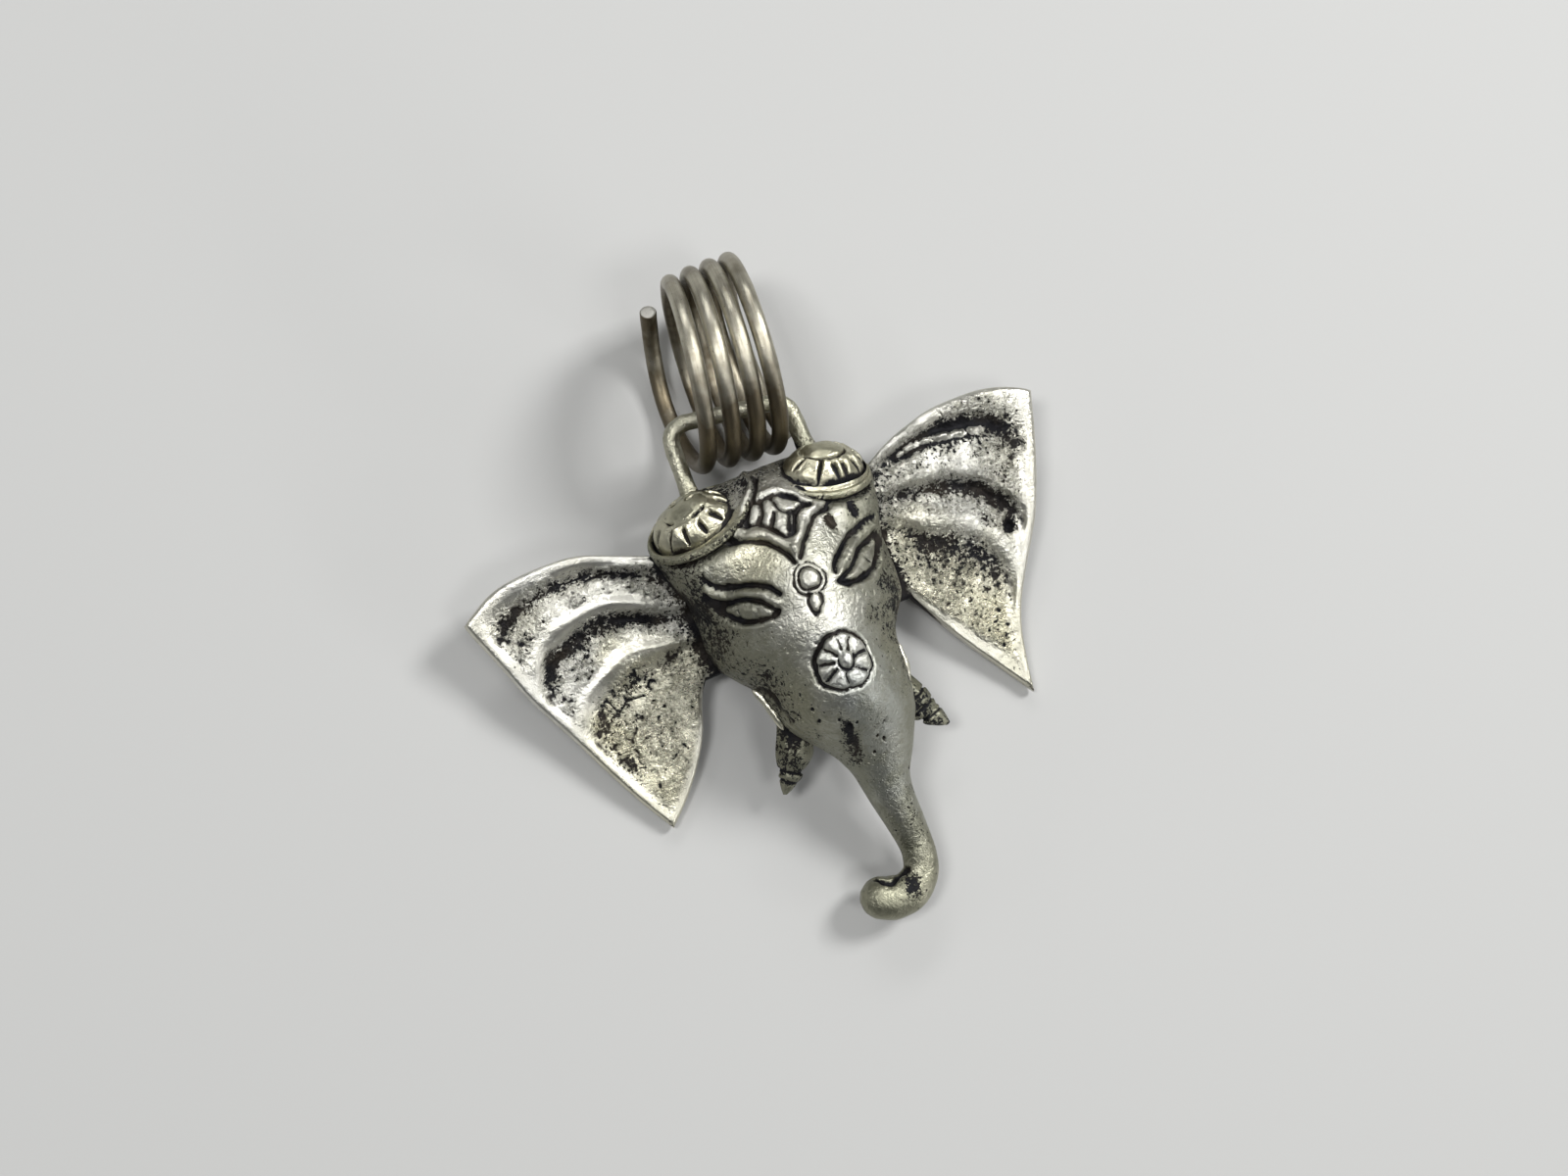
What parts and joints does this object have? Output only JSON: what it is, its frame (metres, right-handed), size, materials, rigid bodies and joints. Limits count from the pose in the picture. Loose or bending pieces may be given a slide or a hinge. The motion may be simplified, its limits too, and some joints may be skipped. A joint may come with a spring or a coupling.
{
  "type": "ganesha pendant",
  "caption": "Cast silver elephant-headed deity pendant with fan ears, curling trunk and a wire loop that carries a coiled wire bail.",
  "frame": {"origin": "middle of the bounding box's bottom face, on the plane that the pendant lies on", "axes": "+X across the face towards the viewer's right, +Y from the trunk's end to the bail, +Z out of the face"},
  "size_m": [0.0512, 0.0556, 0.0169],
  "materials": {
    "oxidised_silver": "cast and polished on the high spots, blackened in the recesses",
    "tarnished_wire": "satin drawn wire with a yellowish tarnish"
  },
  "bodies": {
    "root": {"cast_head": "oxidised_silver", "coil_bail": "tarnished_wire"}
  },
  "joints": []
}
